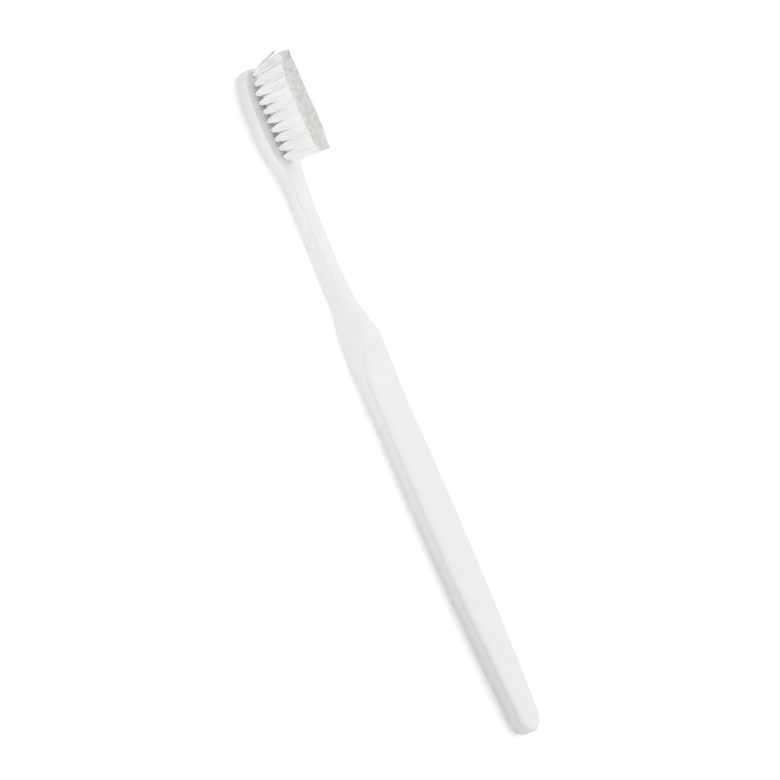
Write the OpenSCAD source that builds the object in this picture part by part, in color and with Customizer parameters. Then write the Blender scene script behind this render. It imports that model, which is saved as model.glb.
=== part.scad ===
// Manual toothbrush: one moulded handle with 27 anchored bristle tufts.
// X runs along the brush with the head at -X. The bristles point to +Z and the flat back lies on z = 0.

/* [Lengths] */
// Length of the handle from toe to butt
brush_l = 190; // [150:1:220]
// Length of the head plate with its taper into the neck
head_l = 31; // [28:0.5:36]
// Length of the neck
neck_l = 31; // [20:0.5:45]
// Length of the shoulder between neck and grip
shoulder_l = 30; // [22:0.5:40]

/* [Head] */
// Greatest width of the head plate
head_w = 11.4; // [10:0.1:13]
// Thickness of the head plate
head_t = 5; // [4.6:0.1:7]
// Rounding along the front edge of the head plate
head_edge = 0.3; // [0.2:0.1:1.4]
// How far the sides of the head lean in toward the back
head_draft = 0.7; // [0.1:0.05:1]
// Length over which the toe is rounded
toe_l = 10; // [6:0.5:12]

/* [Neck and shoulder] */
// Width of the front of the neck
neck_w = 5.5; // [4.5:0.1:7]
// Thickness of the neck
neck_t = 4.2; // [3.8:0.1:5]
// Crown across the front of the neck
neck_crown = 0.2; // [0:0.05:0.4]
// Rounding along the front edges of the neck and the hump
neck_edge = 0.7; // [0.4:0.1:1.2]
// Width of the back of the neck where it leaves the head
neck_back_w = 5; // [4:0.1:6.5]
// Width of the back of the neck where it meets the shoulder
flare_w = 7; // [5:0.1:8]
// Height of the hump on the shoulder
hump_h = 7.4; // [6:0.1:9]
// How far the folded front of the hump stands above its edges
hump_fold = 0.6; // [0.2:0.05:0.8]

/* [Grip] */
// Greatest width of the grip
grip_w = 13.6; // [11:0.1:17]
// Thickness of the grip
grip_t = 4.8; // [4.2:0.1:6]
// Width of the grip near the butt
end_w = 9.6; // [8:0.1:14]
// Thickness of the grip near the butt
end_t = 5.25; // [4.2:0.1:6.5]
// How far the front edge rounding runs in from the side
grip_edge = 2.2; // [1:0.1:3]
// How far the front edge rounding runs down the side
grip_drop = 1.2; // [0.6:0.1:2]
// How far the sides of the grip lean in toward the back
grip_draft = 0.6; // [0.1:0.05:1]
// Rounding along the back edges
back_r = 1.4; // [0.6:0.1:1.6]
// Length over which the butt is rounded
butt_l = 5; // [3:0.5:8]

/* [Tufts] */
// Distance from the toe to the first row of tufts
first_row = 1.95; // [1.8:0.05:3]
// Distance between rows along the head
row_pitch = 2.58; // [2.4:0.02:2.7]
// Distance between the tufts of a row
tuft_pitch = 2.15; // [2:0.05:2.4]
// How far the middle tuft of a row of three lies behind its row
mid_shift = 1.1; // [0:0.05:1.3]
// Diameter of a tuft hole
hole_d = 1.7; // [1.5:0.05:1.8]
// Depth of a tuft hole
hole_depth = 3.2; // [2.8:0.1:3.6]
// Height of the bristle tips above the head plate
bristle_l = 11.9; // [8:0.1:14]
// Length of the trimmed bristle field at its tips
field_l = 28.2; // [26.5:0.1:29]
// Width of the trimmed bristle field at its tips
field_w = 6.2; // [5.8:0.1:7]
// How far the bristle field leans out past the toe
toe_lean = 0.3; // [0:0.05:0.6]
// How much further the loose strands at the toe lean out
stray = 1.3; // [0:0.1:2]
// Width of a strand at its foot
strand_foot = 0.2; // [0.14:0.01:0.24]
// Width of a strand at its tip
strand_tip = 0.36; // [0.2:0.01:0.42]
// How far the tips of neighbouring strands differ in height
tip_step = 0.3; // [0:0.05:0.6]

/* [Anchors] */
// Length of an anchor plate
anchor_l = 2.1; // [1.9:0.05:2.3]
// Height of an anchor plate
anchor_h = 1.3; // [1:0.1:1.5]
// Thickness of an anchor plate
anchor_t = 0.3; // [0.2:0.05:0.35]
// Thickness of the tuft's fold below its anchor
fold_t = 0.5; // [0.3:0.05:0.6]
// Turn of the anchors away from the length of the brush, in degrees
anchor_turn = 30; // [0:5:60]
// Gap round a folded tuft in its hole
tuft_fit = 0.1; // [0.05:0.01:0.15]
// Gap round an anchor in its slot
anchor_fit = 0.05; // [0.02:0.01:0.08]
// Depth of the top of the fold below the mouth of its hole
recess = 0.2; // [0.1:0.05:0.4]

/* [Hidden] */
ROWS = 10;
SIDE = 4;
SEED = 7;
COUNT = 1 + 2 + 3 * (ROWS - 2);

plastic = [0.94, 0.94, 0.93];
nylon = [0.97, 0.97, 0.95];
steel = [0.78, 0.76, 0.70];

toe_x = -brush_l / 2;
butt_x = brush_l / 2;
neck_x = toe_x + head_l;
shoulder_x = neck_x + neck_l;
grip_x = shoulder_x + shoulder_l;
grip_l = butt_x - grip_x;

// Places along a zone and, at each, the way from the first size to the second
head_width_shares = [[0, 0.8], [0.2, 0.85], [0.34, 0.93], [0.48, 1], [0.6, 0.985], [0.72, 0.88],
    [0.79, 0.755], [0.9, 0.385], [1, 0.185]];
neck_width_shares = [[0.1, 0.11], [0.35, 0.04], [0.7, 0], [0.95, 0]];
neck_back_shares = [[0.1, -0.05], [0.35, 0.1], [0.55, 0.38], [0.75, 0.72], [0.95, 0.95]];
shoulder_width_shares = [[0.06, 0], [0.12, -0.03], [0.19, -0.05], [0.26, -0.07], [0.31, -0.03],
    [0.35, 0.03], [0.39, 0.13], [0.435, 0.23], [0.48, 0.29], [0.525, 0.34], [0.57, 0.43], [0.61, 0.53],
    [0.655, 0.63], [0.7, 0.72], [0.745, 0.8], [0.79, 0.86], [0.84, 0.89], [0.9, 0.9]];
shoulder_back_shares = [[0.09, 0.03], [0.17, 0.06], [0.26, 0.31], [0.35, 0.6], [0.44, 0.76], [0.52, 0.9],
    [0.62, 0.97], [0.8, 1]];
grip_width_shares = [[0.07, 0.16], [0.15, 0.07], [0.28, 0], [0.45, 0], [0.55, 0.1], [0.66, 0.28],
    [0.77, 0.58], [0.87, 0.82], [0.93, 1], [1, 1.08]];
head_height_shares = [[0, 1], [0.87, 1], [0.94, 0.93], [1, 0.78]];
neck_height_shares = [[0.1, 0.58], [0.35, 0.22], [0.6, 0.05], [0.8, 0], [0.98, 0.03]];
rise_shares = [[0.04, 0.07], [0.11, 0.19], [0.17, 0.35], [0.22, 0.52], [0.26, 0.69], [0.305, 0.83],
    [0.35, 0.91], [0.39, 0.95], [0.435, 0.98], [0.48, 1], [0.525, 1]];
fall_shares = [[0.57, 0.84], [0.61, 0.61], [0.655, 0.43], [0.7, 0.31], [0.745, 0.22], [0.79, 0.15],
    [0.87, 0.09], [1, 0.05]];
grip_height_shares = [[0.1, 0], [0.45, 0.1], [0.66, 0.55], [0.88, 1], [1, 1]];
// The fold of the hump: how far out its arms lie, and how the front goes from crowned to folded
arm_shares = [[0, 0.1], [0.16, 0.1], [0.29, 0.85], [0.35, 0.75], [0.39, 0.56], [0.435, 0.3], [0.48, 0.08],
    [0.525, 0.26], [0.56, 0.41], [0.61, 0.555], [0.655, 0.73], [0.7, 0.85], [0.745, 0.92], [0.9, 0.9],
    [1, 0.5]];
bend_shares = [[0.18, 1], [0.29, 0]];
ramp_crown_shares = [[0.18, 0], [0.29, -0.15], [0.35, 0.1], [0.39, 0.5], [0.435, 0.85], [0.48, 1]];
arm_crown_shares = [[0.525, 0.58], [0.57, 0.6], [0.61, 0.85], [0.655, 0.68], [0.7, 0.4], [0.745, 0.2],
    [0.79, 0.06], [0.86, 0]];
neck_crown_shares = [[0, 0], [0.33, 1], [1, 1]];
head_edge_shares = [[0, 1], [0.7, 1]];
neck_edge_shares = [[0.3, 0], [1, 0]];
edge_blend_shares = [[0.62, 0], [0.7, 0.08], [0.78, 0.5], [0.87, 1]];

function mix(a, b, share) = a + (b - a) * share;
function along(start, length, from, to, shares) =
    [for (s = shares) [start + s[0] * length, mix(from, to, s[1])]];

// A smooth curve through the points of a list, with no overshoot between them
function rise(p, i) = (p[i + 1][1] - p[i][1]) / (p[i + 1][0] - p[i][0]);
function tangent(p, i) = i == 0 || i == len(p) - 1 || rise(p, i - 1) * rise(p, i) <= 0 ? 0
    : 2 * rise(p, i - 1) * rise(p, i) / (rise(p, i - 1) + rise(p, i));
function span(p, x, i = 0) = i >= len(p) - 2 || x <= p[i + 1][0] ? i : span(p, x, i + 1);
function hermite(y0, y1, m0, m1, t) =
    y0 * (1 + 2 * t) * (1 - t) * (1 - t) + y1 * t * t * (3 - 2 * t)
    + m0 * t * (1 - t) * (1 - t) - m1 * t * t * (1 - t);
function curve(p, x) =
    let (i = span(p, x), run = p[i + 1][0] - p[i][0], t = min(1, max(0, (x - p[i][0]) / run)))
    hermite(p[i][1], p[i + 1][1], tangent(p, i) * run, tangent(p, i + 1) * run, t);

front_width = concat(
    along(toe_x, head_l, neck_w, head_w, head_width_shares),
    along(neck_x, neck_l, neck_w, head_w, neck_width_shares),
    along(shoulder_x, shoulder_l, neck_w, grip_w, shoulder_width_shares),
    along(grip_x, grip_l, grip_w, end_w, grip_width_shares));
back_width = concat(
    along(toe_x, head_l, neck_w - 2 * head_draft, head_w - 2 * head_draft, head_width_shares),
    along(neck_x, neck_l, neck_back_w, flare_w, neck_back_shares),
    along(shoulder_x, shoulder_l, flare_w, grip_w - 2 * grip_draft, shoulder_back_shares),
    along(grip_x, grip_l, grip_w - 2 * grip_draft, end_w - 2 * grip_draft, grip_width_shares));
front_height = concat(
    along(toe_x, head_l, neck_t, head_t, head_height_shares),
    along(neck_x, neck_l, neck_t, head_t, neck_height_shares),
    along(shoulder_x, shoulder_l, neck_t, hump_h - hump_fold, rise_shares),
    along(shoulder_x, shoulder_l, grip_t, hump_h - hump_fold, fall_shares),
    along(grip_x, grip_l, grip_t, end_t, grip_height_shares));
crown_height = concat(
    along(neck_x, neck_l, 0, neck_crown, neck_crown_shares),
    along(shoulder_x, shoulder_l, neck_crown, hump_fold, ramp_crown_shares),
    along(shoulder_x, shoulder_l, 0, hump_fold, arm_crown_shares));
arm_place = along(shoulder_x, shoulder_l, 0, 1, arm_shares);
crown_bend = along(shoulder_x, shoulder_l, 1, 2, bend_shares);
edge_run = concat(
    along(toe_x, head_l, 0, head_edge, head_edge_shares),
    along(neck_x, neck_l, neck_edge, head_edge, neck_edge_shares),
    along(shoulder_x, shoulder_l, neck_edge, grip_edge, edge_blend_shares));
edge_drop = concat(
    along(toe_x, head_l, 0, head_edge, head_edge_shares),
    along(neck_x, neck_l, neck_edge, head_edge, neck_edge_shares),
    along(shoulder_x, shoulder_l, neck_edge, grip_drop, edge_blend_shares));

// Quarter circle from 0 at an end to 1 at a given depth from it
function round_end(depth, reach) = depth >= reach ? 1 : sqrt(1 - pow(1 - depth / reach, 2));
function end_depth(x) = min(x - toe_x, butt_x - x);
function plan_round(x) = round_end(x - toe_x, toe_l) * round_end(butt_x - x, butt_l);

// Half of a section of the handle, from the middle of the back to the middle of the front. Its front has
// a rounded edge, a crown that turns into the sloping side of the fold on the hump, and a level middle.
BACK_STEPS = 4;
EDGE_STEPS = 7;
CROWN_STEPS = 3;
LEVEL_STEPS = 2;
function half_ring(x) =
    let (half = curve(front_width, x) / 2 * plan_round(x),
        back = curve(back_width, x) / 2 * plan_round(x),
        run = min(curve(edge_run, x), half),
        drop = curve(edge_drop, x),
        top = curve(front_height, x) - drop * (1 - round_end(end_depth(x), drop)),
        side_foot = curve(front_height, x) - drop,
        base = back_r * (1 - round_end(end_depth(x), back_r)),
        corner = min(back_r, back),
        arm = (half - run) * curve(arm_place, x))
    concat(
        [[0, base]],
        [for (i = [0 : BACK_STEPS]) let (a = 90 * i / BACK_STEPS)
            [back - corner * (1 - sin(a)), base + (back_r - base) * (1 - cos(a))]],
        [for (i = [0 : EDGE_STEPS]) let (a = 90 * i / EDGE_STEPS)
            [half - run * (1 - cos(a)), side_foot + (top - side_foot) * sin(a)]],
        [for (i = [1 : CROWN_STEPS]) let (s = 1 - i / CROWN_STEPS)
            [mix(arm, half - run, s), top + curve(crown_height, x) * (1 - pow(s, curve(crown_bend, x)))]],
        [for (i = [1 : LEVEL_STEPS]) [arm * (1 - i / LEVEL_STEPS), top + curve(crown_height, x)]]);
function ring(place, x) =
    let (half = half_ring(x), n = len(half))
    concat([for (p = half) [place, p[0], p[1]]],
        [for (i = [n - 2 : -1 : 1]) [place, -half[i][0], half[i][1]]]);

// Places of the rings: close together where the outline turns, and in quarter circles at both ends
NIB = 10;
ring_x = concat(
    [for (a = [NIB : NIB : 90]) toe_x + toe_l * (1 - cos(a))],
    [for (i = [1 : 9]) mix(toe_x + toe_l, neck_x, i / 9)],
    [for (i = [1 : 8]) mix(neck_x, shoulder_x, i / 8)],
    [for (i = [1 : 34]) mix(shoulder_x, grip_x, i / 34)],
    [for (i = [1 : 12]) mix(grip_x, butt_x - butt_l, i / 12)],
    [for (a = [90 - NIB : -NIB : NIB]) butt_x - butt_l * (1 - cos(a))]);
last = len(ring_x) - 1;
rings = [for (i = [0 : last]) ring(i == 0 ? toe_x : i == last ? butt_x : ring_x[i], ring_x[i])];

// One closed skin over rings of equal count, capped at both ends
module skin(rows) {
    n = len(rows[0]);
    m = len(rows);
    polyhedron(
        points = [for (row = rows, p = row) p],
        faces = concat(
            [[for (i = [0 : n - 1]) i]],
            [for (j = [0 : m - 2], i = [0 : n - 1]) let (k = (i + 1) % n)
                [j * n + i, (j + 1) * n + i, j * n + k]],
            [for (j = [0 : m - 2], i = [0 : n - 1]) let (k = (i + 1) % n)
                [j * n + k, (j + 1) * n + i, (j + 1) * n + k]],
            [[for (i = [n - 1 : -1 : 0]) (m - 1) * n + i]]));
}

// Feet of the tufts: one at the toe, then two, then rows of three with the middle one set back
function row_of(k) = k == 0 ? 0 : k < 3 ? 1 : 2 + floor((k - 3) / 3);
function slot_of(k) = k == 0 ? 0 : k < 3 ? k - 1.5 : (k - 3) % 3 - 1;
heel_spread_share = 0.82;
function foot(k) = [
    toe_x + first_row + row_of(k) * row_pitch + (row_of(k) > 1 && slot_of(k) == 0 ? mid_shift : 0),
    slot_of(k) * tuft_pitch * (row_of(k) == ROWS - 1 ? heel_spread_share : 1)];

// Reach of the trimmed face to the near and the far side, row by row, as shares of half its width
near_edge_shares = [0.3, 0.58, 0.74, 0.82, 0.84, 0.84, 0.84, 0.84, 0.84, 0.8];
far_edge_shares = [1.12, 1.16, 1.16, 1.14, 1.14, 1.18, 1.22, 1.2, 1.14, 1.02];
function near_y(k) = -near_edge_shares[row_of(k)] * field_w / 2;
function far_y(k) = far_edge_shares[row_of(k)] * field_w / 2;
function crest_w(k) = (far_y(k) - near_y(k)) / min(row_of(k) + 1, 3);
function crest(k) = [
    toe_x - toe_lean + (row_of(k) + 0.5) * field_l / ROWS,
    (near_y(k) + far_y(k)) / 2 + slot_of(k) * crest_w(k)];

floor_z = head_t - hole_depth;
anchor_z = floor_z + fold_t; // an anchor stands on the fold and on the floor of its slot
fold_top = head_t - recess;
fold_d = hole_d - 2 * tuft_fit;
strand_root = min(recess, fold_t);
foot_pitch = (fold_d / sqrt(2) - strand_foot) / (SIDE - 1);
function tip_pitch(k) = [field_l / ROWS / SIDE, crest_w(k) / SIDE];

module anchor_plate(grow) {
    rotate([0, 0, anchor_turn])
        translate([-anchor_l / 2 - grow, -anchor_t / 2 - grow, 0])
            cube([anchor_l + 2 * grow, anchor_t + 2 * grow, anchor_h + grow]);
}

module handle() {
    color(plastic)
        difference() {
            skin(rings);
            for (k = [0 : COUNT - 1])
                translate([foot(k)[0], foot(k)[1], floor_z])
                    cylinder(h = 2 * hole_depth, d = hole_d, $fn = 32);
            for (k = [0 : COUNT - 1])
                translate([foot(k)[0], foot(k)[1], anchor_z])
                    anchor_plate(anchor_fit);
        }
}

module anchors() {
    color(steel)
        for (k = [0 : COUNT - 1])
            translate([foot(k)[0], foot(k)[1], anchor_z])
                anchor_plate(0);
}

// One straight strand of square section, from the fold to the trimmed face
function square_at(p, z, w) =
    [for (c = [[-1, -1], [1, -1], [1, 1], [-1, 1]]) [p[0] + c[0] * w / 2, p[1] + c[1] * w / 2, z]];
module strand(root, tip, z) {
    points = concat(square_at(root, fold_top - strand_root, strand_foot), square_at(tip, z, strand_tip));
    polyhedron(points = points, faces = concat(
        [[0, 1, 2], [0, 2, 3], [6, 5, 4], [7, 6, 4]],
        [for (i = [0 : 3]) let (j = (i + 1) % 4) [i, i + 4, j]],
        [for (i = [0 : 3]) let (j = (i + 1) % 4) [j, i + 4, j + 4]]));
}

// One tuft: a bundle folded under its anchor, whose strands fan out from the fold to the trimmed face
module tuft(k) {
    heights = rands(-tip_step / 2, tip_step / 2, SIDE * SIDE, SEED + k);
    color(nylon)
        union() {
            difference() {
                translate([foot(k)[0], foot(k)[1], floor_z])
                    cylinder(h = fold_top - floor_z, d = fold_d, $fn = 12);
                translate([foot(k)[0], foot(k)[1], anchor_z])
                    anchor_plate(anchor_fit);
            }
            for (i = [0 : SIDE - 1], j = [0 : SIDE - 1])
                let (u = i - (SIDE - 1) / 2,
                    v = j - (SIDE - 1) / 2,
                    loose = k == 0 && i == 0 ? stray * (1 - j / SIDE) : 0)
                strand(foot(k) + foot_pitch * [u, v],
                    crest(k) + [tip_pitch(k)[0] * u - loose, tip_pitch(k)[1] * v],
                    head_t + bristle_l + heights[i * SIDE + j]);
        }
}

handle();
anchors();
for (k = [0 : COUNT - 1])
    tuft(k);
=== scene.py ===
import math
import bpy
import bmesh
from mathutils import Matrix, Vector


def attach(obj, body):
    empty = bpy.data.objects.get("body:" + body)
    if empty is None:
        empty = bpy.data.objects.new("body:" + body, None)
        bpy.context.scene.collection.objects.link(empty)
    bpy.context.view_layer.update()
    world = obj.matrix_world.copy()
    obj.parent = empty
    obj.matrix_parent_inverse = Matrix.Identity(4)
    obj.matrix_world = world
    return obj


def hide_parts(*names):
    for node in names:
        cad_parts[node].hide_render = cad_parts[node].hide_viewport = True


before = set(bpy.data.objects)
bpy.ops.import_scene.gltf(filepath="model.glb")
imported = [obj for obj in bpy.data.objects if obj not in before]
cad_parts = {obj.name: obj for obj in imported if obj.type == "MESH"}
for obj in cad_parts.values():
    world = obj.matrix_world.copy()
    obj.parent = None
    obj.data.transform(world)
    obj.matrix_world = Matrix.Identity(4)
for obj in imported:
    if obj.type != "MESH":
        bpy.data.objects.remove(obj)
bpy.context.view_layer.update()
scene = bpy.context.scene
mm = 0.001
print("frame loaded:", len(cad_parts), "nodes")


# camera: looks from the near side, 41 degrees above the floor, rolled so that the head is up and to the left
cameraSizes = {
    "aim": (-2.71, 0.0, 5.05),  # mm, the point at the middle of the picture
    "elevation": 41.0,
    "roll": 66.7,  # degrees, clockwise in the picture
    "frameWidth": 205.3,  # mm across the picture
    "lens": 200.0,
    "sensor": 36.0,
    "clip": (0.05, 20.0),  # m
}


def makeCamera(sizes):
    rise, roll = math.radians(sizes["elevation"]), math.radians(sizes["roll"])
    along = Vector((1, 0, 0))
    across = Vector((0, math.sin(rise), math.cos(rise)))
    back = Vector((0, -math.cos(rise), math.sin(rise)))
    right = math.cos(roll) * along + math.sin(roll) * across
    up = -math.sin(roll) * along + math.cos(roll) * across
    turn = Matrix((right, up, back)).transposed()
    data = bpy.data.cameras.new("productCamera")
    data.lens, data.sensor_width = sizes["lens"], sizes["sensor"]
    distance = sizes["frameWidth"] * mm / sizes["sensor"] * sizes["lens"]
    data.clip_start, data.clip_end = sizes["clip"]
    camera = bpy.data.objects.new("productCamera", data)
    scene.collection.objects.link(camera)
    camera.matrix_world = Matrix.Translation(Vector(sizes["aim"]) * mm + back * distance) @ turn.to_4x4()
    scene.camera = camera
    print("camera ready")


makeCamera(cameraSizes)


# small helpers for meshes and node trees
def meshObject(name, mesh):
    piece = bpy.data.objects.new(name, mesh)
    scene.collection.objects.link(piece)
    return piece


def applyModifiers(piece):
    bpy.context.view_layer.update()
    evaluated = piece.evaluated_get(bpy.context.evaluated_depsgraph_get())
    mesh = bpy.data.meshes.new_from_object(evaluated)
    mesh.name = piece.name
    piece.modifiers.clear()
    piece.data = mesh


def feed(tree, made, inputs):
    for key, value in inputs.items():
        socket = made.inputs[key]
        if isinstance(value, bpy.types.NodeSocket):
            tree.links.new(value, socket)
        else:
            socket.default_value = value
    return made


def node(tree, kind, inputs=None, **settings):
    made = tree.nodes.new(kind)
    for key, value in settings.items():
        setattr(made, key, value)
    return feed(tree, made, inputs or {})


def freshTree(owner):
    owner.use_nodes = True
    owner.node_tree.nodes.clear()
    return owner.node_tree


def maths(tree, operation, *values):
    return node(tree, "ShaderNodeMath", dict(enumerate(values)), operation=operation).outputs[0]


def times(tree, first, *others):
    for other in others:
        first = maths(tree, "MULTIPLY", first, other)
    return first


def plus(tree, first, *others):
    for other in others:
        first = maths(tree, "ADD", first, other)
    return first


def vectorMaths(tree, operation, *values):
    return node(tree, "ShaderNodeVectorMath", dict(enumerate(values)), operation=operation).outputs[0]


def vectorSum(tree, first, *others):
    for other in others:
        first = vectorMaths(tree, "ADD", first, other)
    return first


def scaled(tree, value, factor):
    return node(tree, "ShaderNodeVectorMath", {0: value, "Scale": factor}, operation="SCALE").outputs[0]


def vector(tree, **parts):
    return node(tree, "ShaderNodeCombineXYZ", parts).outputs[0]


def shapeTree(name, sockets):
    tree = bpy.data.node_groups.new(name, "GeometryNodeTree")
    kinds = {"int": "NodeSocketInt", "float": "NodeSocketFloat", "vector": "NodeSocketVector"}
    tree.interface.new_socket("Geometry", in_out="INPUT", socket_type="NodeSocketGeometry")
    identifiers = {}
    for label, kind in sockets.items():
        made = tree.interface.new_socket(label, in_out="INPUT", socket_type=kinds[kind])
        identifiers[label] = made.identifier
    tree.interface.new_socket("Geometry", in_out="OUTPUT", socket_type="NodeSocketGeometry")
    return tree, tree.nodes.new("NodeGroupInput"), identifiers


def endTree(tree, geometry, material):
    realized = node(tree, "GeometryNodeRealizeInstances", {0: geometry})
    finish = node(tree, "GeometryNodeSetMaterial", {0: realized.outputs[0], "Material": material})
    tree.links.new(finish.outputs[0], tree.nodes.new("NodeGroupOutput").inputs[0])


def grow(name, tree, identifiers, values, seedMesh=None):
    piece = meshObject(name, seedMesh or bpy.data.meshes.new(name + "Seed"))
    modifier = piece.modifiers.new(name, "NODES")
    modifier.node_group = tree
    for label, value in values.items():
        modifier[identifiers[label]] = value
    applyModifiers(piece)
    return piece


# materials
def newMaterial(name):
    material = bpy.data.materials.new(name)
    tree = freshTree(material)
    surface = node(tree, "ShaderNodeBsdfPrincipled")
    node(tree, "ShaderNodeOutputMaterial", {"Surface": surface.outputs[0]})
    place = node(tree, "ShaderNodeTexCoord").outputs["Object"]
    return material, tree, surface, place


def noise(tree, place, scale, detail=3.0, roughness=0.5):
    return node(tree, "ShaderNodeTexNoise", {"Vector": place, "Scale": scale, "Detail": detail,
                                             "Roughness": roughness}).outputs[0]


def spread(tree, value, low, high):  # 0 to 1 becomes low to high
    return node(tree, "ShaderNodeMapRange", {"Value": value, "To Min": low, "To Max": high}).outputs[0]


def between(tree, value, low, high):  # low to high becomes 0 to 1
    return node(tree, "ShaderNodeMapRange", {"Value": value, "From Min": low, "From Max": high}).outputs[0]


def mixed(tree, share, first, second):
    return node(tree, "ShaderNodeMix", {0: share, 6: first, 7: second}, data_type="RGBA").outputs[2]


mouldedPlastic = {
    "light": (0.905, 0.905, 0.9, 1),
    "dark": (0.885, 0.887, 0.882, 1),
    "flowScale": 60.0,  # slow waves of the moulding, per metre
    "flowDetail": 2.0,
    "roughness": (0.285, 0.405),
    "roughnessScale": 400.0,
    "grainScale": 2600.0,  # fine texture of the mould
    "grainDetail": 4.0,
    "grainStrength": 0.25,
    "grainHeight": 0.000004,  # m
    "refraction": 1.49,
    "subsurface": 0.15,
    "subsurfaceReach": 0.0006,  # m
}


def makePlastic(look):
    material, tree, surface, place = newMaterial("whiteMouldedPlastic")
    flow = noise(tree, place, look["flowScale"], look["flowDetail"])
    polish = noise(tree, place, look["roughnessScale"])
    grain = noise(tree, place, look["grainScale"], look["grainDetail"])
    bump = node(tree, "ShaderNodeBump", {"Height": grain, "Strength": look["grainStrength"],
                                         "Distance": look["grainHeight"]})
    feed(tree, surface, {
        "Base Color": mixed(tree, flow, look["light"], look["dark"]),
        "Roughness": spread(tree, polish, *look["roughness"]), "Normal": bump.outputs[0],
        "IOR": look["refraction"], "Subsurface Weight": look["subsurface"],
        "Subsurface Radius": (1, 1, 1), "Subsurface Scale": look["subsurfaceReach"]})
    return material


nylonFilament = {
    "root": (0.985, 0.985, 0.975, 1),
    "tip": (0.9, 0.9, 0.885, 1),  # the cut ends, painted darker: painted shade from looking down into the gaps between the filaments
    "cutEndShade": (0.6, 0.8),  # how much a face looks up before it starts to be a cut end with painted shade, and is one fully
    "streakScale": 2500.0,
    "streakDetail": 2.0,
    "streakStretch": (1, 1, 0.08),
    "streakTint": (-0.25, 0.3),
    "fleck": (0.74, 0.74, 0.72, 1),  # darker patches at random on the trimmed ends
    "fleckScale": 700.0,
    "fleckDetail": 3.0,
    "fleckRoughness": 0.6,
    "fleckEdge": (0.42, 0.62),  # noise levels at which a patch starts and is full
    "looseShade": (0.7, 0.71, 0.7, 1),  # painted shade: a loose filament is painted grey, standing in for the dark refracted edges by which clear nylon shows against white
    "looseShadeGain": 2.0,
    "roughness": (0.3, 0.63),
    "refraction": 1.53,
}


def makeNylon(look):
    material, tree, surface, place = newMaterial("clearWhiteNylon")
    normal = node(tree, "ShaderNodeNewGeometry").outputs["True Normal"]
    # faces that look up, the filaments' cut ends, are painted darker: painted shade of the gaps between the
    # filaments
    cutEndShade = between(tree, node(tree, "ShaderNodeSeparateXYZ", {0: normal}).outputs[2], *look["cutEndShade"])
    stretched = node(tree, "ShaderNodeMapping", {"Vector": place, "Scale": look["streakStretch"]}).outputs[0]
    streaks = noise(tree, stretched, look["streakScale"], look["streakDetail"])
    cutShadeAndStreaks = plus(tree, cutEndShade, spread(tree, streaks, *look["streakTint"]))
    plain = mixed(tree, cutShadeAndStreaks, look["root"], look["tip"])
    flecks = noise(tree, place, look["fleckScale"], look["fleckDetail"], look["fleckRoughness"])
    patches = times(tree, between(tree, flecks, *look["fleckEdge"]), cutEndShade)
    spotted = mixed(tree, patches, plain, look["fleck"])
    # loose filaments take a painted grey shade so that they show against the white
    loose = node(tree, "ShaderNodeAttribute", attribute_name="loose",
                 attribute_type="GEOMETRY").outputs["Fac"]
    feed(tree, surface, {
        "Base Color": mixed(tree, times(tree, loose, look["looseShadeGain"]), spotted, look["looseShade"]),
        "Roughness": spread(tree, streaks, *look["roughness"]), "IOR": look["refraction"]})
    return material


anchorMetal = {
    "light": (0.83, 0.81, 0.75, 1),
    "dark": (0.66, 0.63, 0.56, 1),
    "roughness": (0.29, 0.5),
    "lineScale": 9000.0,  # drawing lines along the strip
    "lineDetail": 3.0,
    "lineTurn": -30.0,  # degrees
    "lineStretch": (0.1, 1, 1),
    "lineStrength": 0.3,
    "lineHeight": 0.00001,  # m
}


def makeMetal(look):
    material, tree, surface, place = newMaterial("cutMetalStrip")
    turn = (0, 0, math.radians(look["lineTurn"]))
    stretched = node(tree, "ShaderNodeMapping", {"Vector": place, "Rotation": turn,
                                                 "Scale": look["lineStretch"]}).outputs[0]
    drawLines = noise(tree, stretched, look["lineScale"], look["lineDetail"])
    bump = node(tree, "ShaderNodeBump", {"Height": drawLines, "Strength": look["lineStrength"],
                                         "Distance": look["lineHeight"]})
    feed(tree, surface, {
        "Base Color": mixed(tree, drawLines, look["light"], look["dark"]),
        "Roughness": spread(tree, drawLines, *look["roughness"]), "Normal": bump.outputs[0],
        "Metallic": 1.0})
    return material


plastic = makePlastic(mouldedPlastic)
nylon = makeNylon(nylonFilament)
metal = makeMetal(anchorMetal)
print("materials ready")


# layout of the tufts on the head, in mm
tuftLayout = {
    "rows": 10,
    "toe": -95.0,  # place of the plate's end along X
    "firstRow": 1.95,  # from the toe
    "rowPitch": 2.58,
    "tuftPitch": 2.15,
    "heelSpread": 0.82,  # of the pitch, in the last row
    "midShift": 1.1,  # how far the middle tuft of a row of three lies behind its row
    "plateTop": 5.0,
    "toeLean": 0.3,  # how far the trimmed face reaches past the toe
    "fieldLength": 28.2,  # of the trimmed face
    "fieldWidth": 6.2,
    "nearEdge": [0.3, 0.58, 0.74, 0.82, 0.84, 0.84, 0.82, 0.76, 0.72, 0.68],  # of half the width, row by row
    "farEdge": [1.12, 1.16, 1.16, 1.14, 1.14, 1.18, 1.22, 1.2, 1.12, 0.98],
    "footShift": (-0.02, 0.07),  # of a bundle in its hole: to the toe, and to the far side
    "bristleLength": 11.9,
}


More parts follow.
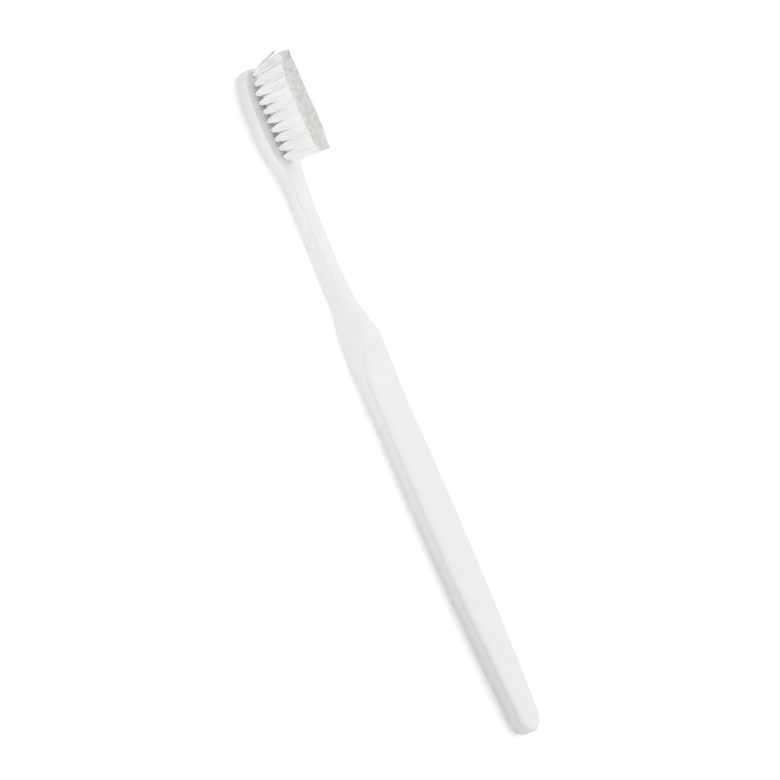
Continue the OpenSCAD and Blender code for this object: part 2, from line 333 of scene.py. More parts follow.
def layTufts(lay):
    tufts = []
    crestLength = lay["fieldLength"] / lay["rows"]
    for row in range(lay["rows"]):
        slots = {0: [0], 1: [-0.5, 0.5]}.get(row, [-1, 0, 1])
        nearY = -lay["nearEdge"][row] * lay["fieldWidth"] / 2
        farY = lay["farEdge"][row] * lay["fieldWidth"] / 2
        crestWidth = (farY - nearY) / len(slots)
        pitch = lay["tuftPitch"] * (lay["heelSpread"] if row == lay["rows"] - 1 else 1)
        for slot in slots:
            x = lay["toe"] + lay["firstRow"] + row * lay["rowPitch"]
            x += lay["midShift"] if len(slots) == 3 and slot == 0 else 0
            y = slot * pitch
            crestX = lay["toe"] - lay["toeLean"] + (row + 0.5) * crestLength
            crestY = (nearY + farY) / 2 + slot * crestWidth
            tufts.append({
                "name": f"tuft_{len(tufts) + 1:02d}",
                "hole": (x, y, lay["plateTop"]),
                "foot": (x + lay["footShift"][0], y + lay["footShift"][1], lay["plateTop"]),
                "crest": (crestX, crestY, lay["plateTop"] + lay["bristleLength"]),
                "crestSize": (crestLength, crestWidth, 0),
            })
    return tufts


tufts = layTufts(tuftLayout)


def footMesh(name, height):
    mesh = bpy.data.meshes.new(name)
    mesh.from_pydata([(t["hole"][0] * mm, t["hole"][1] * mm, height * mm) for t in tufts], [], [])
    return mesh


# handle: a loft of smooth sections from toe to butt, in mm
handleSizes = {
    "length": 190.0, "headLength": 31.0, "neckLength": 31.0, "shoulderLength": 30.0,
    "headWidth": 11.4, "headThickness": 5.0, "headEdge": 0.3, "headDraft": 0.7, "toeRound": 10.0,
    "neckWidth": 5.5, "neckThickness": 4.2, "neckCrown": 0.2, "neckEdge": 0.7,
    "neckBackWidth": 5.0, "flareWidth": 7.0, "humpHeight": 7.4, "humpFold": 0.6,
    "gripWidth": 13.6, "gripThickness": 4.8, "endWidth": 9.6, "endThickness": 5.25,
    "gripEdge": 2.2, "gripDrop": 1.2, "gripDraft": 0.6, "backRound": 1.4, "buttRound": 5.0,
}
handleSteps = {"toe": 22, "head": 36, "neck": 48, "shoulder": 150, "grip": 90, "butt": 22,
               "back": 8, "edge": 12, "crown": 6, "level": 4}
handleShares = {  # pairs of a share along the zone and a share of the way from its first size to its second
    "headWidth": [(0, 0.8), (0.2, 0.85), (0.34, 0.93), (0.48, 1), (0.6, 0.985), (0.72, 0.88), (0.79, 0.755),
                  (0.9, 0.385), (1, 0.185)],
    "neckWidth": [(0.1, 0.11), (0.35, 0.04), (0.7, 0), (0.95, 0)],
    "neckBack": [(0.1, -0.05), (0.35, 0.1), (0.55, 0.38), (0.75, 0.72), (0.95, 0.95)],
    "shoulderWidth": [(0.06, 0), (0.12, -0.03), (0.19, -0.05), (0.26, -0.07), (0.31, -0.03), (0.35, 0.03),
                      (0.39, 0.13), (0.435, 0.23), (0.48, 0.29), (0.525, 0.34), (0.57, 0.43), (0.61, 0.53),
                      (0.655, 0.63), (0.7, 0.72), (0.745, 0.8), (0.79, 0.86), (0.84, 0.89), (0.9, 0.9)],
    "shoulderBack": [(0.09, 0.03), (0.17, 0.06), (0.26, 0.31), (0.35, 0.6), (0.44, 0.76), (0.52, 0.9),
                     (0.62, 0.97), (0.8, 1)],
    "gripWidth": [(0.07, 0.16), (0.15, 0.07), (0.28, 0), (0.45, 0), (0.55, 0.1), (0.66, 0.28),
                  (0.77, 0.58), (0.87, 0.82), (0.93, 1), (1, 1.08)],
    "headHeight": [(0, 1), (0.87, 1), (0.94, 0.93), (1, 0.78)],
    "neckHeight": [(0.1, 0.58), (0.35, 0.22), (0.6, 0.05), (0.8, 0), (0.98, 0.03)],
    "rise": [(0.04, 0.07), (0.11, 0.19), (0.17, 0.35), (0.22, 0.52), (0.26, 0.69), (0.305, 0.83),
             (0.35, 0.91), (0.39, 0.95), (0.435, 0.98), (0.48, 1), (0.525, 1)],
    "fall": [(0.57, 0.84), (0.61, 0.61), (0.655, 0.43), (0.7, 0.31), (0.745, 0.22), (0.79, 0.15),
             (0.87, 0.09), (1, 0.05)],
    "gripHeight": [(0.1, 0), (0.45, 0.1), (0.66, 0.55), (0.88, 1), (1, 1)],
    "arm": [(0, 0.1), (0.16, 0.1), (0.29, 0.85), (0.35, 0.75), (0.39, 0.56), (0.435, 0.3), (0.48, 0.08),
            (0.525, 0.26), (0.56, 0.41), (0.61, 0.555), (0.655, 0.73), (0.7, 0.85), (0.745, 0.92),
            (0.9, 0.9), (1, 0.5)],
    "bend": [(0.18, 1), (0.29, 0)],
    "rampCrown": [(0.18, 0), (0.29, -0.15), (0.35, 0.1), (0.39, 0.5), (0.435, 0.85), (0.48, 1)],
    "armCrown": [(0.525, 0.58), (0.57, 0.6), (0.61, 0.85), (0.655, 0.68), (0.7, 0.4), (0.745, 0.2),
                 (0.79, 0.06), (0.86, 0)],
    "neckCrown": [(0, 0), (0.33, 1), (1, 1)],
    "headEdge": [(0, 1), (0.7, 1)],
    "neckEdge": [(0.3, 0), (1, 0)],
    "edgeBlend": [(0.62, 0), (0.7, 0.08), (0.78, 0.5), (0.87, 1)],
}


def smoothCurve(points):
    slopes = [(b[1] - a[1]) / (b[0] - a[0]) for a, b in zip(points, points[1:])]
    tangents = [0.0]
    for before, after in zip(slopes, slopes[1:]):
        tangents.append(0.0 if before * after <= 0 else 2 * before * after / (before + after))
    tangents.append(0.0)

    def value(x):
        i = 0
        while i < len(points) - 2 and x > points[i + 1][0]:
            i += 1
        run = points[i + 1][0] - points[i][0]
        t = min(1.0, max(0.0, (x - points[i][0]) / run))
        return (points[i][1] * (1 + 2 * t) * (1 - t) ** 2 + points[i + 1][1] * t * t * (3 - 2 * t)
                + tangents[i] * run * t * (1 - t) ** 2 - tangents[i + 1] * run * t * t * (1 - t))
    return value


def roundEnd(depth, reach):
    return 1.0 if depth >= reach else math.sqrt(max(0.0, 1 - (1 - depth / reach) ** 2))


def handleOutline(s, shares):
    toe, butt = -s["length"] / 2, s["length"] / 2
    neck = toe + s["headLength"]
    shoulder = neck + s["neckLength"]
    grip = shoulder + s["shoulderLength"]

    def zone(start, length, first, second, table):
        return [(start + at * length, first + (second - first) * share) for at, share in table]

    head = (toe, s["headLength"])
    slim = (neck, s["neckLength"])
    broad = (shoulder, s["shoulderLength"])
    tail = (grip, butt - grip)
    frontWidth = smoothCurve(
        zone(*head, s["neckWidth"], s["headWidth"], shares["headWidth"])
        + zone(*slim, s["neckWidth"], s["headWidth"], shares["neckWidth"])
        + zone(*broad, s["neckWidth"], s["gripWidth"], shares["shoulderWidth"])
        + zone(*tail, s["gripWidth"], s["endWidth"], shares["gripWidth"]))
    draftHead, draftGrip = 2 * s["headDraft"], 2 * s["gripDraft"]
    backWidth = smoothCurve(
        zone(*head, s["neckWidth"] - draftHead, s["headWidth"] - draftHead, shares["headWidth"])
        + zone(*slim, s["neckBackWidth"], s["flareWidth"], shares["neckBack"])
        + zone(*broad, s["flareWidth"], s["gripWidth"] - draftGrip, shares["shoulderBack"])
        + zone(*tail, s["gripWidth"] - draftGrip, s["endWidth"] - draftGrip, shares["gripWidth"]))
    humpEdge = s["humpHeight"] - s["humpFold"]
    height = smoothCurve(
        zone(*head, s["neckThickness"], s["headThickness"], shares["headHeight"])
        + zone(*slim, s["neckThickness"], s["headThickness"], shares["neckHeight"])
        + zone(*broad, s["neckThickness"], humpEdge, shares["rise"])
        + zone(*broad, s["gripThickness"], humpEdge, shares["fall"])
        + zone(*tail, s["gripThickness"], s["endThickness"], shares["gripHeight"]))
    crown = smoothCurve(
        zone(*slim, 0, s["neckCrown"], shares["neckCrown"])
        + zone(*broad, s["neckCrown"], s["humpFold"], shares["rampCrown"])
        + zone(*broad, 0, s["humpFold"], shares["armCrown"]))
    arm = smoothCurve(zone(*broad, 0, 1, shares["arm"]))
    bend = smoothCurve(zone(*broad, 1, 2, shares["bend"]))
    ends = (zone(*head, 0, s["headEdge"], shares["headEdge"])
            + zone(*slim, s["neckEdge"], s["headEdge"], shares["neckEdge"]))
    edgeRun = smoothCurve(ends + zone(*broad, s["neckEdge"], s["gripEdge"], shares["edgeBlend"]))
    edgeDrop = smoothCurve(ends + zone(*broad, s["neckEdge"], s["gripDrop"], shares["edgeBlend"]))

    def halfSection(x, steps):
        plan = roundEnd(x - toe, s["toeRound"]) * roundEnd(butt - x, s["buttRound"])
        depth = min(x - toe, butt - x)
        half, back = frontWidth(x) / 2 * plan, backWidth(x) / 2 * plan
        run, drop = min(edgeRun(x), half), edgeDrop(x)
        sideFoot = height(x) - drop
        top = height(x) - drop * (1 - roundEnd(depth, drop))
        base = s["backRound"] * (1 - roundEnd(depth, s["backRound"]))
        corner = min(s["backRound"], back)
        points = [(0.0, base)]
        for i in range(steps["back"] + 1):
            a = math.pi / 2 * i / steps["back"]
            rise = (s["backRound"] - base) * (1 - math.cos(a))
            points.append((back - corner * (1 - math.sin(a)), base + rise))
        for i in range(steps["edge"] + 1):
            a = math.pi / 2 * i / steps["edge"]
            points.append((half - run * (1 - math.cos(a)), sideFoot + (top - sideFoot) * math.sin(a)))
        middle, armEnd = top + crown(x), (half - run) * arm(x)
        for i in range(1, steps["crown"] + 1):
            share = 1 - i / steps["crown"]
            points.append((armEnd + (half - run - armEnd) * share, top + crown(x) * (1 - share ** bend(x))))
        for i in range(1, steps["level"] + 1):
            points.append((armEnd * (1 - i / steps["level"]), middle))
        return points
    return halfSection, (toe, neck, shoulder, grip, butt)


def sectionPlaces(s, steps, zones):
    toe, neck, shoulder, grip, butt = zones

    def split(first, second, count):
        return [first + (second - first) * i / count for i in range(1, count + 1)]

    turn = [math.pi / 2 * i / steps["toe"] for i in range(1, steps["toe"] + 1)]
    turnBack = [math.pi / 2 * i / steps["butt"] for i in range(steps["butt"] - 1, 0, -1)]
    return ([toe + s["toeRound"] * (1 - math.cos(a)) for a in turn]
            + split(toe + s["toeRound"], neck, steps["head"]) + split(neck, shoulder, steps["neck"])
            + split(shoulder, grip, steps["shoulder"]) + split(grip, butt - s["buttRound"], steps["grip"])
            + [butt - s["buttRound"] * (1 - math.cos(a)) for a in turnBack])


def loftHandle(s, shares, steps):
    halfSection, zones = handleOutline(s, shares)
    places = sectionPlaces(s, steps, zones)
    corners, faces = [], []
    for i, x in enumerate(places):
        shown = zones[0] if i == 0 else zones[-1] if i == len(places) - 1 else x
        half = halfSection(x, steps)
        ring = half + [(-y, z) for y, z in half[-2:0:-1]]
        corners += [(shown * mm, y * mm, z * mm) for y, z in ring]
    count = len(ring)
    for j in range(len(places) - 1):
        for i in range(count):
            k = (i + 1) % count
            faces.append((j * count + i, j * count + k, (j + 1) * count + k, (j + 1) * count + i))
    faces.append(tuple(range(count - 1, -1, -1)))
    faces.append(tuple((len(places) - 1) * count + i for i in range(count)))
    mesh = bpy.data.meshes.new("handle")
    mesh.from_pydata(corners, [], faces)
    shell = bmesh.new()
    shell.from_mesh(mesh)
    bmesh.ops.recalc_face_normals(shell, faces=shell.faces)
    shell.to_mesh(mesh)
    shell.free()
    return mesh


# tuft holes: one flared cutter at each foot, in mm
holeSizes = {"diameter": 1.5, "depth": 3.2, "rim": 0.07, "above": 2.0, "sides": 40}


def makeHoleCutters(sizes):
    tree, given, identifiers = shapeTree("tuftHoles", {
        "Diameter": "float", "Depth": "float", "Rim": "float", "Above": "float", "Sides": "int"})
    sock = given.outputs
    # the wall's line has four points: floor, start of the flare, mouth, and a point above the plate
    line = node(tree, "GeometryNodeCurvePrimitiveLine")
    fine = node(tree, "GeometryNodeResampleCurve", {0: line.outputs[0], "Count": 4})
    index = node(tree, "GeometryNodeInputIndex").outputs[0]

    def atPoint(number, *heights):
        return times(tree, maths(tree, "COMPARE", index, number, 0.5), *heights)

    height = plus(tree, atPoint(0, sock["Depth"], -1), atPoint(1, sock["Rim"], -1),
                  atPoint(3, sock["Above"]))
    placed = node(tree, "GeometryNodeSetPosition", {0: fine.outputs[0], "Position": vector(tree, Z=height)})
    flare = times(tree, maths(tree, "GREATER_THAN", index, 1.5), sock["Rim"])
    radius = plus(tree, times(tree, sock["Diameter"], 0.5), flare)
    ring = node(tree, "GeometryNodeCurvePrimitiveCircle", {"Resolution": sock["Sides"], "Radius": 1.0})
    plug = node(tree, "GeometryNodeCurveToMesh", {0: placed.outputs[0], "Profile Curve": ring.outputs[0],
                                                  "Scale": radius, "Fill Caps": True})
    spots = node(tree, "GeometryNodeInstanceOnPoints", {"Points": sock["Geometry"],
                                                       "Instance": plug.outputs[0]})
    endTree(tree, spots.outputs[0], plastic)
    return grow("holeCutters", tree, identifiers, {
        "Diameter": sizes["diameter"] * mm, "Depth": sizes["depth"] * mm, "Rim": sizes["rim"] * mm,
        "Above": sizes["above"] * mm, "Sides": sizes["sides"]}, footMesh("feet", tuftLayout["plateTop"]))


# anchors: a small plate with rounded corners across each fold, in mm
anchorSizes = {"length": 2.1, "height": 1.3, "thickness": 0.3, "corner": 0.12, "cornerSteps": 4,
               "turn": 30.0, "foldThickness": 0.5, "play": 0.05, "weld": 0.001}


def anchorLevel(sizes):
    return tuftLayout["plateTop"] - holeSizes["depth"] + sizes["foldThickness"]


def makeAnchors(sizes):
    tree, given, identifiers = shapeTree("anchorPlates", {
        "Length": "float", "Height": "float", "Thickness": "float", "Corner": "float", "Turn": "float"})
    sock = given.outputs
    outline = node(tree, "GeometryNodeCurvePrimitiveQuadrilateral", {"Width": sock["Length"],
                                                                    "Height": sock["Height"]})
    eased = node(tree, "GeometryNodeFilletCurve", {
        0: outline.outputs[0], "Count": sizes["cornerSteps"], "Radius": sock["Corner"],
        "Limit Radius": True}, mode="POLY")
    face = node(tree, "GeometryNodeFillCurve", {0: eased.outputs[0]}, mode="NGONS").outputs[0]
    raised = node(tree, "GeometryNodeExtrudeMesh", {0: face, "Offset Scale": sock["Thickness"],
                                                    "Individual": False}).outputs[0]
    under = node(tree, "GeometryNodeFlipFaces", {0: face}).outputs[0]
    joined = node(tree, "GeometryNodeJoinGeometry")
    tree.links.new(raised, joined.inputs[0])
    tree.links.new(under, joined.inputs[0])
    closed = node(tree, "GeometryNodeMergeByDistance", {0: joined.outputs[0],
                                                        "Distance": sizes["weld"] * mm}).outputs[0]
    lift = vector(tree, Y=times(tree, sock["Thickness"], 0.5), Z=times(tree, sock["Height"], 0.5))
    upright = node(tree, "GeometryNodeTransform", {0: closed, "Translation": lift,
                                                   "Rotation": (math.pi / 2, 0, 0)}).outputs[0]
    plates = node(tree, "GeometryNodeInstanceOnPoints", {"Points": sock["Geometry"], "Instance": upright,
                                                        "Rotation": vector(tree, Z=sock["Turn"])}).outputs[0]
    endTree(tree, plates, metal)
    piece = grow("anchorPlates", tree, identifiers, {
        "Length": sizes["length"] * mm, "Height": sizes["height"] * mm, "Thickness": sizes["thickness"] * mm,
        "Corner": sizes["corner"] * mm, "Turn": math.radians(sizes["turn"])},
        footMesh("anchorFeet", anchorLevel(sizes)))
    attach(piece, "root")
    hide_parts("anchors")
    print("anchors ready:", len(piece.data.polygons), "faces")


def boxMesh(name, boxes):
    shell = bmesh.new()
    for low, high, turn in boxes:
        spot = Matrix.Translation((low + high) / 2) @ Matrix.Rotation(turn, 4, "Z")
        bmesh.ops.create_cube(shell, size=1, matrix=spot @ Matrix.Diagonal((*(high - low), 1)))
    mesh = bpy.data.meshes.new(name)
    shell.to_mesh(mesh)
    shell.free()
    return mesh


def slotBoxes(sizes):
    play, floorZ = sizes["play"], anchorLevel(sizes)
    reach = Vector((sizes["length"] / 2 + play, sizes["thickness"] / 2 + play, 0))
    boxes = []
    for tuft in tufts:
        x, y, _ = tuft["hole"]
        low = Vector((x, y, floorZ)) - reach
        high = Vector((x, y, floorZ + sizes["height"] + play)) + reach
        boxes.append((low * mm, high * mm, math.radians(sizes["turn"])))
    return boxes


def cut(piece, cutter):
    modifier = piece.modifiers.new("cut", "BOOLEAN")
    modifier.operation, modifier.solver, modifier.object = "DIFFERENCE", "EXACT", cutter
    applyModifiers(piece)
    bpy.data.objects.remove(cutter)


handleShading = {"weld": 0.0001, "sharp": 38.0}  # mm, and degrees from which an edge stays sharp


def shadeByAngle(mesh, shading):
    shell = bmesh.new()
    shell.from_mesh(mesh)
    bmesh.ops.remove_doubles(shell, verts=shell.verts, dist=shading["weld"] * mm)
    for face in shell.faces:
        face.smooth = True
    for edge in shell.edges:
        edge.smooth = len(edge.link_faces) == 2 and edge.calc_face_angle(0) < math.radians(shading["sharp"])
    shell.to_mesh(mesh)
    shell.free()


def makeHandle():
    piece = meshObject("handleMoulding", loftHandle(handleSizes, handleShares, handleSteps))
    cut(piece, makeHoleCutters(holeSizes))
    cut(piece, meshObject("slotCutters", boxMesh("slotCutters", slotBoxes(anchorSizes))))
    shadeByAngle(piece.data, handleShading)
    piece.data.materials.clear()
    piece.data.materials.append(plastic)
    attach(piece, "root")
    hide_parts("handle")
    print("handle ready:", len(piece.data.polygons), "faces")


makeHandle()


# bristles: one tuft of thin filaments for each hole, in mm
filamentSizes = {
    "count": 196,
    "diameter": 0.2,
    "flare": 0.25,  # how much wider the trimmed ends are
    "flarePower": 4.0,  # how late a filament widens
    "bundle": 1.2,  # width of a bundle at its mouth
    "bury": 0.8,  # how far a filament starts below the plate
    "reach": 3.2,  # height at which most of the fan is done
    "opening": 1.3,  # 1 opens at a steady rate, 2 later
    "crowding": 1.35,  # rings crowd where the fan opens
    "wander": 0.07,  # how far a tip strays from its place in the grid
    "bend": 0.6,  # share of the wander by which the middle sways
    "step": 0.12,  # uneven trim of the tips
    "trim": 0.5,  # depth of the hollows that the trimming leaves
    "trimScale": 700.0,
    "trimDetail": 2.0,
    "trimRange": (-0.2, 1.2),  # the noise of the hollows, stretched past 0 and 1 and then clamped
    "stray": (-1.15, -1.2, -1.6),  # how far a loose filament at the toe leans out
    "strayRows": 10,  # the first column's rows that can hold one
    "strayShare": 0.35,  # of these, in the toe tuft
    "strayLeast": 0.5,  # share of the lean that the least loose one has
    "sides": 6,
    "rings": 10,
    "seed": 11,
    "seedStep": 17,  # from tuft to tuft
}


def filamentTree(sizes):
    tree, given, identifiers = shapeTree("filamentTuft", {
        "Foot": "vector", "Crest": "vector", "Crest Size": "vector", "Filaments": "int", "Diameter": "float",
        "Flare": "float", "Bundle": "float", "Bury": "float", "Reach": "float", "Opening": "float",
        "Wander": "float", "Step": "float", "Trim": "float", "Trim Scale": "float", "Stray": "vector",
        "Stray Share": "float", "Sides": "int", "Rings": "int", "Seed": "int"})
    sock = given.outputs
    index = node(tree, "GeometryNodeInputIndex").outputs[0]
    points = node(tree, "GeometryNodePoints", {"Count": sock["Filaments"]}).outputs[0]

    def chance(low, high, salt):
        seed = plus(tree, sock["Seed"], salt)
        return node(tree, "FunctionNodeRandomValue", {2: low, 3: high, 7: index, 8: seed},
                    data_type="FLOAT").outputs[1]

    # an even grid over the crest's rectangle, drawn in to a disc at the mouth of the hole
    rows = maths(tree, "CEIL", maths(tree, "SQRT", sock["Filaments"]))
    column = maths(tree, "FLOOR", maths(tree, "DIVIDE", plus(tree, index, 0.5), rows))
    row = maths(tree, "SUBTRACT", index, times(tree, column, rows))
    columns = maths(tree, "DIVIDE", sock["Filaments"], rows)

    def centred(place, count):
        share = maths(tree, "DIVIDE", plus(tree, place, 0.5), count)
        return maths(tree, "SUBTRACT", times(tree, share, 2), 1)

    gridX, gridY = centred(column, columns), centred(row, rows)

    def drawnIn(first, second):
        shrink = maths(tree, "SUBTRACT", 1, times(tree, second, second, 0.5))
        return times(tree, first, maths(tree, "SQRT", shrink))

    disc = vector(tree, X=drawnIn(gridX, gridY), Y=drawnIn(gridY, gridX))
    down = vector(tree, Z=times(tree, sock["Bury"], -1))
    root = vectorSum(tree, sock["Foot"], scaled(tree, disc, times(tree, sock["Bundle"], 0.5)), down)
    halfCrest = scaled(tree, sock["Crest Size"], 0.5)
    square = vectorMaths(tree, "MULTIPLY", vector(tree, X=gridX, Y=gridY), halfCrest)
    level = vectorSum(tree, sock["Crest"], square)
    jitter = vector(tree, X=times(tree, chance(-1.0, 1.0, 1), sock["Wander"]),
                    Y=times(tree, chance(-1.0, 1.0, 2), sock["Wander"]),
                    Z=times(tree, chance(-1.0, 1.0, 3), sock["Step"]))
    hollow = spread(tree, noise(tree, level, sock["Trim Scale"], sizes["trimDetail"]), *sizes["trimRange"])
    hollow = node(tree, "ShaderNodeClamp", {0: hollow}).outputs[0]
    trimmed = vectorSum(tree, level, vector(tree, Z=times(tree, hollow, sock["Trim"], -1)), jitter)
    inColumn = maths(tree, "LESS_THAN", column, 0.5)
    inRows = maths(tree, "LESS_THAN", row, sizes["strayRows"] - 0.5)
    picked = maths(tree, "LESS_THAN", chance(0.0, 1.0, 4), sock["Stray Share"])
    loose = times(tree, inColumn, inRows, picked, chance(sizes["strayLeast"], 1.0, 5))
    tip = vectorSum(tree, trimmed, scaled(tree, sock["Stray"], loose))
    sway = vector(tree, X=times(tree, chance(-sizes["bend"], sizes["bend"], 6), sock["Wander"]),
                  Y=times(tree, chance(-sizes["bend"], sizes["bend"], 7), sock["Wander"]))

    def store(geometry, label, value, kind):
        return node(tree, "GeometryNodeStoreNamedAttribute", {0: geometry, "Name": label, "Value": value},
                    data_type=kind, domain="POINT").outputs[0]

    stored = store(points, "loose", loose, "FLOAT")
    for label, value in (("root", root), ("tip", tip), ("sway", sway)):
        stored = store(stored, label, value, "FLOAT_VECTOR")
    line = node(tree, "GeometryNodeCurvePrimitiveLine").outputs[0]
    fine = node(tree, "GeometryNodeResampleCurve", {0: line, "Count": sock["Rings"]}).outputs[0]
    lines = node(tree, "GeometryNodeInstanceOnPoints", {"Points": stored, "Instance": fine}).outputs[0]
    real = node(tree, "GeometryNodeRealizeInstances", {0: lines}).outputs[0]

    def kept(label, kind):
        return node(tree, "GeometryNodeInputNamedAttribute", {"Name": label}, data_type=kind).outputs[0]

    factor = node(tree, "GeometryNodeSplineParameter").outputs["Factor"]
    along = maths(tree, "POWER", factor, sizes["crowding"])
    rootSpot = kept("root", "FLOAT_VECTOR")
    step = vectorMaths(tree, "SUBTRACT", kept("tip", "FLOAT_VECTOR"), rootSpot)
    lean = vectorMaths(tree, "SUBTRACT", sock["Crest"], sock["Foot"])
    lean = vectorMaths(tree, "MULTIPLY", lean, (1, 1, 0))
    fanned = vectorMaths(tree, "MULTIPLY", vectorMaths(tree, "SUBTRACT", step, lean), (1, 1, 0))
    length = node(tree, "ShaderNodeSeparateXYZ", {0: step}).outputs[2]
    height = times(tree, length, along)
    rise = maths(tree, "MAXIMUM", maths(tree, "SUBTRACT", height, sock["Bury"]), 0)
    risen = maths(tree, "DIVIDE", rise, maths(tree, "SUBTRACT", length, sock["Bury"]))
    opened = maths(tree, "POWER", maths(tree, "DIVIDE", rise, sock["Reach"]), sock["Opening"])
    fan = maths(tree, "SUBTRACT", 1, maths(tree, "EXPONENT", times(tree, opened, -1)))
    # a loose filament runs straight
    fan = node(tree, "ShaderNodeMix", {0: kept("loose", "FLOAT"), 2: fan, 3: risen}).outputs[0]
    bulge = times(tree, along, maths(tree, "SUBTRACT", 1, along), 4)
    spot = vectorSum(tree, rootSpot, scaled(tree, lean, risen), scaled(tree, fanned, fan),
                     vector(tree, Z=height), scaled(tree, kept("sway", "FLOAT_VECTOR"), bulge))
    bent = node(tree, "GeometryNodeSetPosition", {0: real, "Position": spot}).outputs[0]
    flared = plus(tree, 1, times(tree, maths(tree, "POWER", along, sizes["flarePower"]), sock["Flare"]))
    width = times(tree, sock["Diameter"], 0.5, flared)
    profile = node(tree, "GeometryNodeCurvePrimitiveCircle", {"Resolution": sock["Sides"], "Radius": 1.0})
    tubes = node(tree, "GeometryNodeCurveToMesh", {0: bent, "Profile Curve": profile.outputs[0],
                                                   "Scale": width, "Fill Caps": True}).outputs[0]
    for label in ("root", "tip", "sway"):
        tubes = node(tree, "GeometryNodeRemoveAttribute", {0: tubes, "Name": label}).outputs[0]
    endTree(tree, node(tree, "GeometryNodeSetShadeSmooth", {0: tubes}).outputs[0], nylon)
    return tree, identifiers


def makeBristles(sizes):
    tree, identifiers = filamentTree(sizes)
    total = 0
    for number, tuft in enumerate(tufts):
        toe = number == 0
        piece = grow(tuft["name"].replace("_", "") + "Filaments", tree, identifiers, {
            "Foot": [v * mm for v in tuft["foot"]], "Crest": [v * mm for v in tuft["crest"]],
            "Crest Size": [v * mm for v in tuft["crestSize"]], "Filaments": sizes["count"],
            "Diameter": sizes["diameter"] * mm, "Flare": sizes["flare"], "Bundle": sizes["bundle"] * mm,
            "Bury": sizes["bury"] * mm, "Reach": sizes["reach"] * mm, "Opening": sizes["opening"],
            "Wander": sizes["wander"] * mm, "Step": sizes["step"] * mm, "Trim": sizes["trim"] * mm,
            "Trim Scale": sizes["trimScale"], "Stray": [v * mm for v in sizes["stray"]],
            "Stray Share": sizes["strayShare"] if toe else 0.0, "Sides": sizes["sides"],
            "Rings": sizes["rings"], "Seed": sizes["seed"] + number * sizes["seedStep"]})
        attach(piece, "root")
        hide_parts(tuft["name"])
        total += len(piece.data.polygons)
    print("bristles ready:", total, "faces")


makeBristles(filamentSizes)
makeAnchors(anchorSizes)


# floor and light
stageLook = {
    "floorReach": 3.0,  # m from its middle to its edge
    "floorDrop": 0.05,  # mm below the back of the brush
    "floorColour": (0.95, 0.95, 0.95, 1),
    "floorGlow": 0.3,  # seen directly and not by bounced light, so it lights nothing
    "sky": 0.52,  # even light from all round
    "roof": 1.18,  # more light from above and behind
    "roofTilt": (0.0, 0.47, 0.883),  # where the roof is brightest
    "roofPower": 2.0,  # how fast it fades from there
    "near": 2.3,  # a low bright band on the near side
    "nearFall": 16.0,  # how fast the band fades upward
    "calm": 0.0,  # light that comes from round the camera
    "calmSize": (0.7, 0.9),  # cosines of the edges of the calm patch
    "mapSize": 128,  # enough for a smooth sky
    "bounces": 12,  # light finds its way in between the white filaments
}
# lamps: mm and watts
sideLamp = {"place": (-43.0, -110.0, 12.0), "aim": (-38.0, 0.0, 4.0), "size": 90.0, "power": 0.039}
headLamp = {"place": (-125.0, -85.0, 22.0), "aim": (-82.0, 0.0, 10.0), "size": 60.0, "power": 0.003}


def seenDirectly(tree):
    rays = node(tree, "ShaderNodeLightPath").outputs
    return maths(tree, "MAXIMUM", rays["Is Camera Ray"], rays["Is Transmission Ray"])


def makeFloor(look):
    shell = bmesh.new()
    drop = Matrix.Translation((0, 0, -look["floorDrop"] * mm))
    bmesh.ops.create_grid(shell, x_segments=1, y_segments=1, size=look["floorReach"], matrix=drop)
    mesh = bpy.data.meshes.new("floor")
    shell.to_mesh(mesh)
    shell.free()
    material = bpy.data.materials.new("paleFloor")
    tree = freshTree(material)
    matte = node(tree, "ShaderNodeBsdfDiffuse", {"Color": look["floorColour"]})
    glow = node(tree, "ShaderNodeEmission", {"Strength": times(tree, seenDirectly(tree), look["floorGlow"])})
    both = node(tree, "ShaderNodeAddShader", {0: matte.outputs[0], 1: glow.outputs[0]})
    node(tree, "ShaderNodeOutputMaterial", {"Surface": both.outputs[0]})
    mesh.materials.append(material)
    meshObject("floor", mesh)


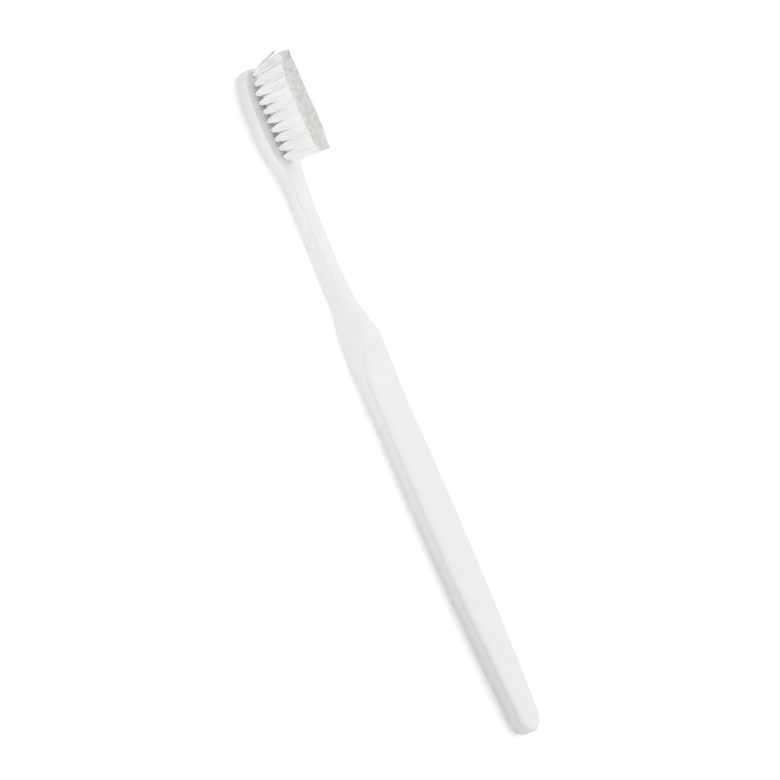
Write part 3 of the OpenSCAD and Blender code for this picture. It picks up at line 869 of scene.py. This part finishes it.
def makeSky(look):
    world = bpy.data.worlds.new("softTent")
    scene.world = world
    world.cycles.sampling_method = "MANUAL"
    world.cycles.sample_map_resolution = look["mapSize"]
    tree = freshTree(world)
    direction = node(tree, "ShaderNodeTexCoord").outputs["Generated"]

    def facing(way):
        return node(tree, "ShaderNodeVectorMath", {0: direction, 1: way},
                    operation="DOT_PRODUCT").outputs["Value"]

    overhead = maths(tree, "MAXIMUM", facing(look["roofTilt"]), 0)
    roof = times(tree, maths(tree, "POWER", overhead, look["roofPower"]), look["roof"])
    sides = node(tree, "ShaderNodeSeparateXYZ", {0: direction}).outputs
    upward = maths(tree, "POWER", maths(tree, "ABSOLUTE", sides[2]), 2)
    low = maths(tree, "EXPONENT", times(tree, upward, -look["nearFall"]))
    near = times(tree, low, maths(tree, "MAXIMUM", times(tree, sides[1], -1), 0), look["near"])
    around = plus(tree, roof, near, look["sky"])
    rise = math.radians(cameraSizes["elevation"])
    level = node(tree, "ShaderNodeMapRange", {
        "Value": facing((0, -math.cos(rise), math.sin(rise))), "From Min": look["calmSize"][0],
        "From Max": look["calmSize"][1], "To Min": around, "To Max": look["calm"]},
        interpolation_type="SMOOTHSTEP").outputs[0]
    light = node(tree, "ShaderNodeBackground", {"Color": (1, 1, 1, 1), "Strength": level})
    white = node(tree, "ShaderNodeBackground", {"Color": (1, 1, 1, 1), "Strength": 1.0})
    both = node(tree, "ShaderNodeMixShader", {0: seenDirectly(tree), 1: light.outputs[0],
                                              2: white.outputs[0]})
    node(tree, "ShaderNodeOutputWorld", {"Surface": both.outputs[0]})


def makeLamp(name, lamp):
    data = bpy.data.lights.new(name, "AREA")
    data.shape, data.size, data.energy = "DISK", lamp["size"] * mm, lamp["power"]
    piece = bpy.data.objects.new(name, data)
    scene.collection.objects.link(piece)
    place, aim = Vector(lamp["place"]) * mm, Vector(lamp["aim"]) * mm
    turn = (aim - place).to_track_quat("-Z", "Y").to_matrix()
    piece.matrix_world = Matrix.Translation(place) @ turn.to_4x4()
    piece.visible_camera = False


makeFloor(stageLook)
makeSky(stageLook)
makeLamp("sideSoftbox", sideLamp)
makeLamp("headSoftbox", headLamp)
scene.cycles.diffuse_bounces = stageLook["bounces"]
scene.view_settings.view_transform = "Standard"
print("stage ready")
